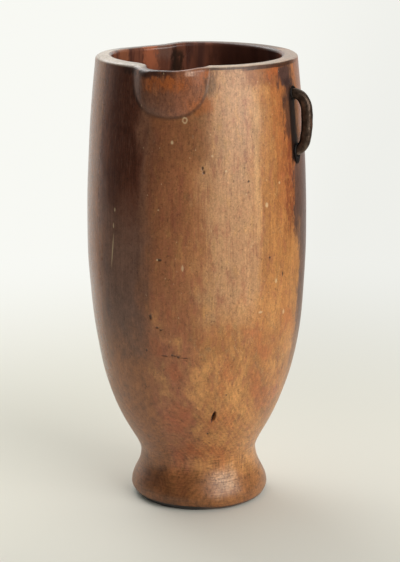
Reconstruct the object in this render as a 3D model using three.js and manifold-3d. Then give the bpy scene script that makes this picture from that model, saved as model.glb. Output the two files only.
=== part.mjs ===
// A milk vessel carved from one block of wood, with an iron carrying loop let through its wall.
// Millimetres, +Z up. The origin lies on the flat underside, below the middle of the bowl.
// +X points at the carrying loop, and the pouring lip faces near -Y.

import * as THREE from 'three';
import { mergeVertices, toCreasedNormals } from 'three/addons/utils/BufferGeometryUtils.js';
import Module from 'manifold-3d';

// Outside of the carved block: heights above the table, and radii
const rimHeight = 400;
const rimRadius = 87.4;
const rimInwardSlope = 0.09;
const bellyHeight = 240.6;
const bellyRadius = 96.75;
const waistHeight = 42.9;
const waistRadius = 52;
const waistOutwardSlope = 0.14;
const flareHeight = 8;
const flareRadius = 61.8;
const flareKneeHeight = 3.6;
const soleRadius = 58.2;
const soleEdge = 2.4;

// How far each curve of the outside keeps its first direction, as a share of its own height
const flareFullness = 0.31;
const waistFullnessBelow = 0.49;
const waistFullnessAbove = 0.11;
const bellyFullnessBelow = 0.77;
const bellyFullnessAbove = 0.53;
const rimFullness = 0.25;

// The foot was carved a little to one side of the bowl, and the shift fades out on the way up
const footShift = 2.5;
const footShiftBearing = 25;
const footShiftReach = 190;

// The rim and the hollow
const rimWall = 14;
const rimBevelWidth = 8.5;
const rimBevelDrop = 2;
const rimInnerRound = 3;
const bellyWall = 15.2;
const hollowFloorHeight = 68;
const hollowSideFullness = 0.62;
const hollowFloorFullness = 0.66;

// At the back left the rim was cut lower, from nothing at one bearing down to a small step at the other
const lowEdgeStart = 205;
const lowEdgeStep = 130;
const lowEdgeDrop = 1.3;

// A knot fell out low on the front and left a slit
const slitBearing = -54;
const slitHeight = 94;
const slitWidth = 3.6;
const slitLength = 9.5;
const slitDepth = 4.5;

// The pouring lip: a tongue left standing on the wall, with a channel cut into it
const lipBearing = -79.6;
const lipHalfWidth = 33;
const lipStandOff = 10.5;
const lipDepth = 20;
const lipDrop = 45.4;
const lipBelowRim = 1;
const lipSquareness = 3;
const lipEdgeRound = 2.4;
const lipWall = 6.5;
const lipSideWall = 5;
const channelDrop = 51;
const channelDepth = 22;
const channelSquareness = 2;
const channelEdgeRound = 1.6;

// The iron loop: one bar whose two ends are drawn thinner, driven through the wall and bent down inside
const loopUpperRootBelowRim = 28.7;
const loopRootSpacing = 49.5;
const loopStandOff = 12.2;
const loopUpperCorner = 18;
const loopUpperRun = 9;
const loopLowerCorner = 27;
const loopLowerRun = 9;
const loopLowerSlope = 24;
const cornerFullness = 0.55;
const barThickness = 8.3;
const barWidth = 8.5;
const rootThickness = 7;
const rootWidth = 7;
const tangThickness = 4.6;
const tangWidth = 5.4;
const tipThickness = 1.6;
const tipWidth = 2.6;
const clinchLength = 16;
const clinchReach = 6.5;
const clinchLean = 0.55;
const barSquareness = 2.6;

// The holes for the loop, and the black resin that seals each of them
const holeRadius = 5.8;
const beadRadius = 8.4;
const beadHeight = 2.6;

// Pieces that touch on the real vessel lie this far apart
const seatGap = 0.3;

// Fineness of the faceted solids
const roundSegments = 64;
const flareSteps = 3;
const footSteps = 8;
const bowlSteps = 12;
const neckSteps = 6;
const hollowSteps = 9;
const cornerSteps = 3;
const lipSegments = 32;
const lipSteps = 9;
const barSides = 12;
const barStep = 2.6;
const sealSegments = 24;
const slitSegments = 12;
const wallSearchStep = 0.02;
const weldDistance = 1e-4;
const creaseAngle = 35;

const wasm = await Module();
wasm.setup();

const degrees = Math.PI / 180;

// A closed geometry becomes a solid that can be joined and cut
function solidOf(geometry) {
  const bare = new THREE.BufferGeometry();
  bare.setAttribute('position', geometry.getAttribute('position'));
  bare.setIndex(geometry.getIndex());
  const merged = mergeVertices(bare, weldDistance);
  const corners = merged.getIndex().array;
  const kept = [];
  for (let i = 0; i < corners.length; i += 3) {
    const [a, b, c] = [corners[i], corners[i + 1], corners[i + 2]];
    if (a !== b && b !== c && c !== a) kept.push(a, b, c);
  }
  const vertProperties = new Float32Array(merged.getAttribute('position').array);
  return new wasm.Manifold(new wasm.Mesh({ numProp: 3, vertProperties, triVerts: new Uint32Array(kept) }));
}

// A solid back as a geometry, shaded smooth except over its sharp edges
function geometryOf(solid) {
  const mesh = solid.getMesh();
  const geometry = new THREE.BufferGeometry();
  geometry.setAttribute('position', new THREE.BufferAttribute(mesh.vertProperties, 3));
  geometry.setIndex(new THREE.BufferAttribute(mesh.triVerts, 1));
  return toCreasedNormals(geometry, creaseAngle * degrees);
}

// The points of a path whose stretches each have their own number of steps
function steppedPoints(path, steps) {
  const points = [path.curves[0].getPoint(0)];
  path.curves.forEach((curve, index) => points.push(...curve.getPoints(steps[index]).slice(1)));
  return points;
}

// A profile of (radius, height) points, turned about the Z axis
function turned(points, segments) {
  const geometry = new THREE.LatheGeometry(points, segments);
  geometry.rotateX(Math.PI / 2);
  return geometry;
}

// The outside from the sole to the rim, as (radius, height) points; grown moves it out all over
function outsideProfile(grown) {
  const footRise = waistHeight - flareHeight;
  const bowlRise = bellyHeight - waistHeight;
  const neckRise = rimHeight - bellyHeight;
  const waistLead = bowlRise * waistFullnessAbove;
  const curve = new THREE.Path();
  curve.moveTo(soleRadius - soleEdge, 0);
  curve.lineTo(soleRadius, soleEdge);
  curve.quadraticCurveTo(flareRadius, flareKneeHeight, flareRadius, flareHeight);
  curve.bezierCurveTo(
    flareRadius, flareHeight + footRise * flareFullness,
    waistRadius, waistHeight - footRise * waistFullnessBelow,
    waistRadius, waistHeight
  );
  curve.bezierCurveTo(
    waistRadius + waistLead * waistOutwardSlope, waistHeight + waistLead,
    bellyRadius, bellyHeight - bowlRise * bellyFullnessBelow,
    bellyRadius, bellyHeight
  );
  curve.bezierCurveTo(
    bellyRadius, bellyHeight + neckRise * bellyFullnessAbove,
    rimRadius + neckRise * rimFullness * rimInwardSlope, rimHeight - neckRise * rimFullness,
    rimRadius, rimHeight
  );
  const points = steppedPoints(curve, [1, flareSteps, footSteps, bowlSteps, neckSteps]);
  return points.map((point) => new THREE.Vector2(point.x + grown, point.y));
}

// The hollow from the rim down to its round floor, as (radius, height) points
function hollowProfile() {
  const sideRise = rimHeight - bellyHeight;
  const bowlDepth = bellyHeight - hollowFloorHeight;
  const mouthRadius = rimRadius - rimWall;
  const hollowRadius = bellyRadius - bellyWall;
  const curve = new THREE.Path();
  curve.moveTo(mouthRadius + rimInwardSlope * rimInnerRound, rimHeight - rimInnerRound);
  curve.bezierCurveTo(
    mouthRadius + sideRise * rimFullness * rimInwardSlope, rimHeight - sideRise * rimFullness,
    hollowRadius, bellyHeight + sideRise * bellyFullnessAbove,
    hollowRadius, bellyHeight
  );
  curve.bezierCurveTo(
    hollowRadius, bellyHeight - bowlDepth * hollowSideFullness,
    hollowRadius * hollowFloorFullness, hollowFloorHeight,
    0, hollowFloorHeight
  );
  return steppedPoints(curve, [neckSteps, hollowSteps]);
}

// A worn corner as points: the middle of its oval, half the oval's width and height, two angles in degrees
function wornCorner(centreRadius, centreHeight, width, height, first, last) {
  const arc = new THREE.Path();
  arc.absellipse(centreRadius, centreHeight, width, height, first * degrees, last * degrees, last < first);
  return arc.getPoints(cornerSteps);
}

// How far the carved block stands to one side at a height
function sideShift(height) {
  const left = Math.max(0, 1 - height / footShiftReach);
  const bearing = footShiftBearing * degrees;
  return new THREE.Vector2(Math.cos(bearing), Math.sin(bearing)).multiplyScalar(footShift * left * left);
}

// The radius of a profile at a height
function radiusAt(profile, height) {
  for (let i = 1; i < profile.length; i += 1) {
    const [a, b] = [profile[i - 1], profile[i]];
    if ((a.y - height) * (b.y - height) <= 0 && a.y !== b.y) {
      return THREE.MathUtils.mapLinear(height, a.y, b.y, a.x, b.x);
    }
  }
  return profile[profile.length - 1].x;
}

const outside = outsideProfile(0);
const hollow = hollowProfile();

// The block as it stands before it is hollowed, with the rim's top falling outward to a worn edge
function carvedBlock(grown) {
  const edgeHeight = rimHeight - rimBevelDrop;
  const side = outsideProfile(grown).filter((point) => point.y < edgeHeight);
  const crownRadius = radiusAt(outside, edgeHeight) + grown - rimBevelWidth;
  const bevel = wornCorner(crownRadius, edgeHeight, rimBevelWidth, rimBevelDrop, 0, 90);
  const profile = [new THREE.Vector2(0, 0), ...side, ...bevel, new THREE.Vector2(0, rimHeight)];
  const geometry = turned(profile, roundSegments);
  const position = geometry.getAttribute('position');
  for (let i = 0; i < position.count; i += 1) {
    const shift = sideShift(position.getZ(i));
    position.setX(i, position.getX(i) + shift.x);
    position.setY(i, position.getY(i) + shift.y);
  }
  return solidOf(geometry);
}

// What the carver took out from the mouth, running up past the rim so that the cut is clean
function hollowCutter() {
  const mouth = hollow[0];
  const edge = wornCorner(mouth.x + rimInnerRound, mouth.y, rimInnerRound, rimInnerRound, 90, 180);
  const above = rimHeight + rimInnerRound;
  const profile = [
    ...hollow.slice().reverse(),
    ...edge.reverse().slice(1),
    new THREE.Vector2(mouth.x + rimInnerRound, above),
    new THREE.Vector2(0, above)
  ];
  return solidOf(turned(profile, roundSegments));
}

// Half-sizes of an upright form shrink to nothing on the way down, as a superellipse does
function shrinkage(fall, drop, squareness) {
  return (1 - (fall / drop) ** squareness) ** (1 / squareness);
}

// An upright form with an oval section that closes at the bottom; its top stays open to the caller's points
function taperingForm(topPoints, top, depth, halfWidth, drop, squareness) {
  const sides = [];
  for (let i = 1; i <= lipSteps; i += 1) {
    const fall = drop * Math.sin((i / lipSteps) * Math.PI / 2);
    sides.push(new THREE.Vector2(depth * shrinkage(fall, drop, squareness), top - fall));
  }
  sides[lipSteps - 1].x = 0;
  const profile = [...topPoints, ...sides].reverse();
  const geometry = turned(profile, lipSegments);
  geometry.scale(1, halfWidth / depth, 1);
  return geometry;
}

// Turns a form that faces +X to the bearing of the pouring lip
function facingLip(geometry, distance) {
  geometry.translate(distance, 0, 0);
  geometry.rotateZ(lipBearing * degrees);
  return solidOf(geometry);
}

// The outside of the lip: a tongue with steep flanks and a ledge at its foot
function lipTongue() {
  const top = rimHeight - lipBelowRim;
  const centre = rimRadius + lipStandOff - lipDepth;
  const edge = wornCorner(lipDepth - lipEdgeRound, top - lipEdgeRound, lipEdgeRound, lipEdgeRound, 90, 0);
  const topPoints = [new THREE.Vector2(0, top), ...edge];
  const form = taperingForm(topPoints, top - lipEdgeRound, lipDepth, lipHalfWidth, lipDrop, lipSquareness);
  return facingLip(form, centre);
}

// The channel that leads the milk out over the lip
function lipChannel() {
  const top = rimHeight - lipBelowRim;
  const above = rimHeight + rimInnerRound;
  const centre = rimRadius + lipStandOff - lipWall - channelDepth;
  const wide = channelDepth + channelEdgeRound;
  const edge = wornCorner(wide, top - channelEdgeRound, channelEdgeRound, channelEdgeRound, 90, 180);
  const topPoints = [new THREE.Vector2(0, above), new THREE.Vector2(wide, above), ...edge];
  const halfWidth = lipHalfWidth - lipSideWall;
  const form = taperingForm(topPoints, top - channelEdgeRound, channelDepth, halfWidth, channelDrop,
    channelSquareness);
  return facingLip(form, centre);
}

// Each root of the loop: where its hole leaves the outside and the hollow, and how it slopes, as (x, z)
function rootAt(height, slope) {
  const outer = new THREE.Vector2(radiusAt(outside, height), height);
  const inward = new THREE.Vector2(-Math.cos(slope * degrees), -Math.sin(slope * degrees));
  const inner = outer.clone();
  while (inner.x > radiusAt(hollow, inner.y)) inner.addScaledVector(inward, wallSearchStep);
  return { outer, inner, inward, slope };
}

const upperRoot = rootAt(rimHeight - loopUpperRootBelowRim, 0);
const lowerRoot = rootAt(rimHeight - loopUpperRootBelowRim - loopRootSpacing, loopLowerSlope);

// The point where a bent-over tip comes to lie against the wall of the hollow
function clinchedTip(root) {
  const height = root.inner.y - clinchLength;
  return new THREE.Vector2(radiusAt(hollow, height) - seatGap - tipThickness / 2, height);
}

// The middle line of the bar from its upper tip round the loop to its lower tip, as (x, z)
// Each knot holds the thickness and width of the bar where one stretch of the line meets the next
function loopLine() {
  const bar = { thickness: barThickness, width: barWidth };
  const root = { thickness: rootThickness, width: rootWidth };
  const tang = { thickness: tangThickness, width: tangWidth };
  const tip = { thickness: tipThickness, width: tipWidth };
  const reach = radiusAt(outside, upperRoot.outer.y - loopUpperCorner) + loopStandOff;
  const bendOf = (end) => end.inner.clone().addScaledVector(end.inward, clinchReach);
  const leanOf = (end) => bendOf(end).add(new THREE.Vector2(0, -clinchLength * clinchLean));
  const leave = upperRoot.outer.clone().addScaledVector(upperRoot.inward, -loopUpperRun);
  const enter = lowerRoot.outer.clone().addScaledVector(lowerRoot.inward, -loopLowerRun);
  const upperTurn = upperRoot.outer.y - loopUpperCorner;
  const lowerTurn = lowerRoot.outer.y + loopLowerCorner;

  const line = new THREE.Path();
  const upperTip = clinchedTip(upperRoot);
  const lowerTip = clinchedTip(lowerRoot);
  line.moveTo(upperTip.x, upperTip.y);
  line.bezierCurveTo(leanOf(upperRoot).x, leanOf(upperRoot).y, bendOf(upperRoot).x, bendOf(upperRoot).y,
    upperRoot.inner.x, upperRoot.inner.y);
  line.lineTo(upperRoot.outer.x, upperRoot.outer.y);
  line.bezierCurveTo(leave.x, leave.y, reach, upperTurn + loopUpperCorner * cornerFullness, reach, upperTurn);
  line.lineTo(reach, lowerTurn);
  line.bezierCurveTo(reach, lowerTurn - loopLowerCorner * cornerFullness, enter.x, enter.y,
    lowerRoot.outer.x, lowerRoot.outer.y);
  line.lineTo(lowerRoot.inner.x, lowerRoot.inner.y);
  line.bezierCurveTo(bendOf(lowerRoot).x, bendOf(lowerRoot).y, leanOf(lowerRoot).x, leanOf(lowerRoot).y,
    lowerTip.x, lowerTip.y);
  return { line, knots: [tip, tang, root, bar, bar, root, tang, tip] };
}

// The forged bar as a solid; grown makes it thicker all over, to cut the room that it needs
function forgedLoop(grown) {
  const { line, knots } = loopLine();
  const rings = [];
  line.curves.forEach((curve, index) => {
    const steps = Math.max(2, Math.round(curve.getLength() / barStep));
    for (let i = index === 0 ? 0 : 1; i <= steps; i += 1) {
      const share = i / steps;
      const at = curve.getPointAt(share);
      const along = curve.getTangentAt(share);
      const thickness = THREE.MathUtils.lerp(knots[index].thickness, knots[index + 1].thickness, share);
      const width = THREE.MathUtils.lerp(knots[index].width, knots[index + 1].width, share);
      rings.push({ at, along, thickness: thickness / 2 + grown, width: width / 2 + grown });
    }
  });
  const positions = [];
  for (const ring of rings) {
    for (let side = 0; side < barSides; side += 1) {
      const angle = (side / barSides) * Math.PI * 2;
      const [cosine, sine] = [Math.cos(angle), Math.sin(angle)];
      const outOfRound = Math.abs(cosine) ** barSquareness + Math.abs(sine) ** barSquareness;
      const rounding = outOfRound ** (-1 / barSquareness);
      const across = ring.thickness * cosine * rounding;
      const sideways = ring.width * sine * rounding;
      positions.push(ring.at.x + ring.along.y * across, sideways, ring.at.y - ring.along.x * across);
    }
  }
  const corners = [];
  for (let ring = 0; ring + 1 < rings.length; ring += 1) {
    for (let side = 0; side < barSides; side += 1) {
      const next = (side + 1) % barSides;
      const [a, b] = [ring * barSides + side, ring * barSides + next];
      const [c, d] = [a + barSides, b + barSides];
      corners.push(a, b, d, a, d, c);
    }
  }
  const last = (rings.length - 1) * barSides;
  for (let side = 1; side + 1 < barSides; side += 1) {
    corners.push(0, side + 1, side);
    corners.push(last, last + side, last + side + 1);
  }
  const geometry = new THREE.BufferGeometry();
  geometry.setAttribute('position', new THREE.Float32BufferAttribute(positions, 3));
  geometry.setIndex(corners);
  return solidOf(geometry);
}

// A round form along one root's hole, from a distance outside the wall to a distance inside the hollow
function alongRoot(root, radius, before, beyond) {
  const length = root.outer.distanceTo(root.inner) + before + beyond;
  const geometry = new THREE.CylinderGeometry(radius, radius, length, sealSegments);
  geometry.rotateZ(Math.PI / 2);
  geometry.translate(before - length / 2, 0, 0);
  return atRoot(geometry, root);
}

// Moves a form made at the origin, with +X outward, to where a root's hole leaves the wall
function atRoot(geometry, root) {
  geometry.rotateY(-root.slope * degrees);
  geometry.translate(root.outer.x, 0, root.outer.y);
  return solidOf(geometry);
}

// The resin in one hole: a plug round the tang, and the bead left standing round the root outside
function resinSeal(root) {
  const bead = new THREE.SphereGeometry(1, sealSegments, sealSegments / 2);
  bead.scale(beadHeight, beadRadius, beadRadius);
  const standing = atRoot(bead, root).subtract(carvedBlock(seatGap));
  const plug = alongRoot(root, holeRadius - seatGap, beadHeight, holeRadius);
  const intoBead = seatGap * 2;
  const inWall = plug.intersect(carvedBlock(intoBead)).subtract(hollowCutter());
  return inWall.add(standing).subtract(forgedLoop(seatGap));
}

// What was cut off the rim at the back left: a flat slice that deepens towards its step
function lowEdgeCutter() {
  const span = (lowEdgeStart - lowEdgeStep) * degrees;
  const reach = rimRadius * 2;
  const slice = new THREE.Shape();
  slice.moveTo(0, 0);
  slice.lineTo(reach, 0);
  slice.absarc(0, 0, reach, 0, -span, true);
  const geometry = new THREE.ExtrudeGeometry(slice, { depth: lowEdgeDrop * 2, bevelEnabled: false });
  geometry.rotateX(Math.atan2(lowEdgeDrop, rimRadius * Math.sin(span)));
  geometry.rotateZ(lowEdgeStart * degrees);
  geometry.translate(0, 0, rimHeight);
  return solidOf(geometry);
}

// The hollow that the lost knot left, as an upright lens sunk into the surface
function knotSlit() {
  const shift = sideShift(slitHeight);
  const geometry = new THREE.SphereGeometry(1, slitSegments, slitSegments);
  geometry.scale(slitDepth, slitWidth / 2, slitLength / 2);
  geometry.translate(radiusAt(outside, slitHeight), 0, slitHeight);
  geometry.rotateZ(slitBearing * degrees);
  geometry.translate(shift.x, shift.y, 0);
  return solidOf(geometry);
}

function vesselBody() {
  return carvedBlock(0)
    .subtract(lowEdgeCutter())
    .subtract(knotSlit())
    .add(lipTongue())
    .subtract(hollowCutter())
    .subtract(lipChannel())
    .subtract(alongRoot(upperRoot, holeRadius, holeRadius, holeRadius))
    .subtract(alongRoot(lowerRoot, holeRadius, holeRadius, holeRadius));
}

const wood = new THREE.MeshStandardMaterial({ color: 0xa6744a, roughness: 0.42, metalness: 0 });
const iron = new THREE.MeshStandardMaterial({ color: 0x55463a, roughness: 0.5, metalness: 0.75 });
const resin = new THREE.MeshStandardMaterial({ color: 0x1d140f, roughness: 0.55, metalness: 0 });

const vessel = new THREE.Group();

function place(name, solid, material) {
  const piece = new THREE.Mesh(geometryOf(solid), material);
  piece.name = name;
  vessel.add(piece);
}

place('vessel_body', vesselBody(), wood);
place('handle_staple', forgedLoop(0), iron);
place('upper_packing', resinSeal(upperRoot), resin);
place('lower_packing', resinSeal(lowerRoot), resin);

export default vessel;
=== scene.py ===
import math

import bpy
import numpy as np
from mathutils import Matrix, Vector, noise


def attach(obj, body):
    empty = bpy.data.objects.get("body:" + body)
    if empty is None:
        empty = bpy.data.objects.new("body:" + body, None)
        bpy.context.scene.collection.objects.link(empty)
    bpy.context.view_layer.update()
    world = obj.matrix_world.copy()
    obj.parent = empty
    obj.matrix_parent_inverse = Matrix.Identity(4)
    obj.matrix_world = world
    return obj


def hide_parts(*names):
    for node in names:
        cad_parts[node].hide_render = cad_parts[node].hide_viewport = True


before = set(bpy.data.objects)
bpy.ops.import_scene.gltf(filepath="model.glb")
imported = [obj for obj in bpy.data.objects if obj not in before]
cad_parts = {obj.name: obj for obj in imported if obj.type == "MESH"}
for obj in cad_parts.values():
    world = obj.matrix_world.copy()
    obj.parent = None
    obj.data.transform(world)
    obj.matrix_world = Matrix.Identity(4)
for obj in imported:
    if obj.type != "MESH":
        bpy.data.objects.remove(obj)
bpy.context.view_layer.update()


# The vessel: foot, bowl, rim and pouring lip, carved with an adze and knives from one block of
# close-grained wood, and hollowed through the mouth. Years of milk, smoke and handling have left it
# dark on one side, honey brown on the other, and polished all over.

mm = 0.001

# Heights and radii of the outside in millimetres, at the rim, belly, waist and widest part of the foot
RIM_HEIGHT, RIM_RADIUS = 400, 87.4
BELLY_HEIGHT, BELLY_RADIUS = 240.6, 96.75
WAIST_HEIGHT, WAIST_RADIUS = 42.9, 52
FLARE_HEIGHT, FLARE_RADIUS = 8.6, 61.6

# How far the curves run on before they turn, as shares of their heights, and how they lean
SOLE_FLARE, WAIST_BELOW, WAIST_ABOVE, WAIST_LEAN = 0.31, 0.49, 0.11, 0.14
BELLY_BELOW, BELLY_ABOVE, RIM_BELOW, RIM_LEAN = 0.77, 0.53, 0.25, 0.09

# The hollow: wall thicknesses, the height of its floor, and how its curve runs
RIM_WALL, BELLY_WALL, FLOOR_HEIGHT = 14, 15.2, 68
FLOOR_REACH, FLOOR_BELOW = 0.66, 0.62

# The foot stands a little to one side of the bowl, up to a height where the shift has gone
FOOT_SHIFT, FOOT_BEARING, FOOT_REACH = 2.5, math.radians(25), 190


def bend(start, lead_out, lead_in, end, steps):
    """The points of one curved stretch of an outline, after its first point."""
    shares = np.arange(1, steps + 1)[:, None] / steps
    start, lead_out, lead_in, end = (np.array(point, float) for point in (start, lead_out, lead_in, end))
    rest = 1 - shares
    return (rest**3 * start + 3 * rest**2 * shares * lead_out
            + 3 * rest * shares**2 * lead_in + shares**3 * end)


def neck_line(side, mouth):
    """The outline from the belly, where its radius is side, up to the rim, where it is mouth."""
    neck = RIM_HEIGHT - BELLY_HEIGHT
    return bend((side, BELLY_HEIGHT), (side, BELLY_HEIGHT + neck * BELLY_ABOVE),
                (mouth + neck * RIM_BELOW * RIM_LEAN, RIM_HEIGHT - neck * RIM_BELOW), (mouth, RIM_HEIGHT), 60)


def outside_outline():
    """Radius and height of the outside, from the widest part of the foot up to the rim."""
    flare, waist = (FLARE_RADIUS, FLARE_HEIGHT), (WAIST_RADIUS, WAIST_HEIGHT)
    belly = (BELLY_RADIUS, BELLY_HEIGHT)
    foot, bowl = WAIST_HEIGHT - FLARE_HEIGHT, BELLY_HEIGHT - WAIST_HEIGHT
    lead = bowl * WAIST_ABOVE
    above_flare = (FLARE_RADIUS, FLARE_HEIGHT + foot * SOLE_FLARE)
    below_waist = (WAIST_RADIUS, WAIST_HEIGHT - foot * WAIST_BELOW)
    above_waist = (WAIST_RADIUS + lead * WAIST_LEAN, WAIST_HEIGHT + lead)
    below_belly = (BELLY_RADIUS, BELLY_HEIGHT - bowl * BELLY_BELOW)
    return np.vstack([[flare], bend(flare, above_flare, below_waist, waist, 30),
                      bend(waist, above_waist, below_belly, belly, 90), neck_line(BELLY_RADIUS, RIM_RADIUS)])


def inside_outline():
    """Radius and height of the hollow, from the middle of its floor up to the rim."""
    bottom, side = (0, FLOOR_HEIGHT), BELLY_RADIUS - BELLY_WALL
    below_belly = (side, BELLY_HEIGHT - (BELLY_HEIGHT - FLOOR_HEIGHT) * FLOOR_BELOW)
    rounding = bend(bottom, (side * FLOOR_REACH, FLOOR_HEIGHT), below_belly, (side, BELLY_HEIGHT), 80)
    return np.vstack([[bottom], rounding, neck_line(side, RIM_RADIUS - RIM_WALL)])


OUTSIDE = outside_outline()
INSIDE = inside_outline()


def outside_radius(height):
    return np.interp(height, OUTSIDE[:, 1], OUTSIDE[:, 0])


def inside_radius(height):
    return np.interp(height, INSIDE[:, 1], INSIDE[:, 0])


# The lip and its channel, as forms with a rounded section that close at the bottom
LIP_DEGREES = -79.6
LIP_BEARING = math.radians(LIP_DEGREES)
LIP_TOP = RIM_HEIGHT - 1
LIP_PROUD, LIP_DEPTH, LIP_DROP, LIP_WIDTH, LEFT_WIDTH = 9.6, 20, 47.8, 32.6, 11
LIP_CENTRE = RIM_RADIUS + LIP_PROUD - LIP_DEPTH
FLANK_START, FLANK_FACING, FLANK_SOFTNESS = math.radians(-21.8), math.radians(-50), 5
CHANNEL_PROUD, CHANNEL_DEPTH, CHANNEL_DROP, CHANNEL_WIDTH, LEFT_CHANNEL = 4, 22, 52.6, 28, -4
CHANNEL_CENTRE = RIM_RADIUS + CHANNEL_PROUD - CHANNEL_DEPTH
CHANNEL_SOFTNESS = 2.5
LIP_FOOT_SOFTNESS, LIP_RIM_SOFTNESS = 1.4, 2.2


def section_reach(bearing, centre, depth, width, squareness):
    """How far from the vessel's axis a rounded section reaches on a bearing, or 0 where it doesn't."""
    turn = bearing - LIP_BEARING
    near, far = np.full(turn.shape, float(centre)), np.full(turn.shape, float(centre + LIP_DEPTH * 1.6))

    def outside(reach):
        forward = np.maximum(reach * np.cos(turn) - centre, 0) / np.maximum(depth, 0.01)
        aside = np.abs(reach * np.sin(turn)) / np.maximum(width, 0.01)
        return forward**squareness + aside**squareness > 1

    missed = outside(near) | (np.cos(turn) < 0.5) | (depth < 0.01 * LIP_DEPTH)
    for _ in range(24):
        middle = (near + far) / 2
        beyond = outside(middle)
        near, far = np.where(beyond, near, middle), np.where(beyond, middle, far)
    return np.where(missed, 0, near)


def closing(height, drop, squareness):
    """The share of its full size that a form has left at a height, on its way to closing at the bottom."""
    fall = np.clip((LIP_TOP - height) / drop, 0, 1)
    return (1 - fall**squareness) ** (1 / squareness)


def left_of_lip(bearing):
    """1 over the left part of the lip and beyond, 0 over its right part."""
    return smooth(turned_from(bearing, LIP_DEGREES), 3, -9)


def lip_reach(bearing, height):
    """The tongue left standing on the wall: a long flat flank at the left, a rounder one at the right."""
    left = left_of_lip(bearing)
    width = (LIP_WIDTH + LEFT_WIDTH * left) * closing(height, LIP_DROP, 3 - 0.75 * left)
    face = section_reach(bearing, LIP_CENTRE, LIP_DEPTH * closing(height, LIP_DROP, 3), width, 2)
    start = np.arcsin(math.sin(FLANK_START) * closing(height, LIP_DROP, 2.25))
    slanted = np.maximum(np.cos(bearing - LIP_BEARING - FLANK_FACING), 0.3)
    flank = outside_radius(height) * np.cos(start - FLANK_FACING) / slanted
    near = np.clip(1 - np.abs(face - flank) / FLANK_SOFTNESS, 0, 1)
    return np.minimum(face, flank) - near**2 * FLANK_SOFTNESS / 4


def channel_reach(bearing, height):
    """The channel cut into the rim behind the lip, a little narrower at its left."""
    size = closing(height, CHANNEL_DROP, 2)
    width = CHANNEL_WIDTH + LEFT_CHANNEL * left_of_lip(bearing)
    return section_reach(bearing, CHANNEL_CENTRE, CHANNEL_DEPTH * size, width * size, 2)


def blended_max(one, other, softness):
    """The larger of two, rounded where they meet, as a knife leaves an inner corner."""
    near = np.clip(1 - np.abs(one - other) / softness, 0, 1)
    return np.maximum(one, other) + near**2 * softness / 4


def smooth(value, low, high):
    """A soft step from 0 to 1 while value goes from low to high."""
    share = np.clip((value - low) / (high - low), 0, 1)
    return share * share * (3 - 2 * share)


def turned_from(bearing, other):
    """Degrees from one bearing to another, from -180 to 180."""
    return (np.degrees(bearing) - other + 180) % 360 - 180


def stretch(bearing, start, rise, end, fall):
    """1 along a stretch between two bearings, come up over rise degrees and gone down over fall."""
    return smooth(turned_from(bearing, start), 0, rise) * smooth(turned_from(bearing, end), 0, -fall)


def uneven(bearing, height, radius, size, seed):
    """A gentle unevenness of the carved surface, from -1 to 1, on a scale of size millimetres."""
    x, y = radius * np.cos(bearing) / size, radius * np.sin(bearing) / size
    return np.vectorize(lambda *place: noise.noise(place))(x + seed, y, height / size * 0.6)


# A knot fell out low on the front and left a slit in the wood
SLIT_BEARING, SLIT_HEIGHT = math.radians(-54), 94
SLIT_WIDTH, SLIT_LENGTH, SLIT_DEPTH, SLIT_LEAN = 3.6, 9.5, 4.5, 0.12


def slit_depth(bearing, height, radius):
    """How deep the slit goes into the wood at a bearing and a height."""
    across = radius * (bearing - SLIT_BEARING) - SLIT_LEAN * (height - SLIT_HEIGHT)
    along = height - SLIT_HEIGHT
    reach = np.sqrt((across / SLIT_WIDTH * 2) ** 2 + (along / SLIT_LENGTH * 2) ** 2)
    return SLIT_DEPTH * smooth(reach, 1.15, 0.45)


# How finely the columns stand, in degrees: at large, over the lip's two flanks, and at the slit
COLUMN_TURN, FLANK_TURN, SLIT_TURN = 1.25, 0.36, 0.3

# The rim: how far it dips at the back left and at the lip, and its crown's outer and inner edges
BACK_DIP, LIP_DIP, RIPPLE = 2.2, 2.1, 0.15
BEVEL_DROP, BEVEL_WIDTH, INNER_ROUND = 2, 8.5, 3.4

# The sole: the radius that touches the ground, and the edge above it
CONTACT_RADIUS, EDGE_RADIUS, EDGE_HEIGHT = 55.6, 60, 4.8

# The flutes of the gouge round the hollow, and the rows of points that follow them down
FLUTE_COUNT, FLUTE_DEPTH, HOLLOW_ROWS = 31, 0.38, 327.5


def column_bearings():
    """Bearings of the mesh's columns, closer together over the two flanks of the lip and at the slit."""
    wide = np.arange(-180, 180, COLUMN_TURN)
    slit = math.degrees(SLIT_BEARING - LIP_BEARING)
    wide = wide[((np.abs(wide) < 15.5) | (np.abs(wide) > 27.2)) & (np.abs(wide - slit) > 2.4)]
    flank = np.arange(16, 27.1, FLANK_TURN)
    flanks = np.concatenate([flank, -flank])
    flanks = flanks[np.abs(flanks - slit) > 2.4]
    turns = np.sort(np.concatenate([wide, flanks, slit + np.arange(-2.25, 2.3, SLIT_TURN)]))
    return turns, np.radians(turns) + LIP_BEARING


def skin(rows, columns):
    """The faces between rows of points that go round, each row of as many columns."""
    faces = []
    for row in range(rows - 1):
        for column in range(columns):
            beside = (column + 1) % columns
            faces.append((row * columns + column, row * columns + beside,
                          (row + 1) * columns + beside, (row + 1) * columns + column))
    return faces


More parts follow.
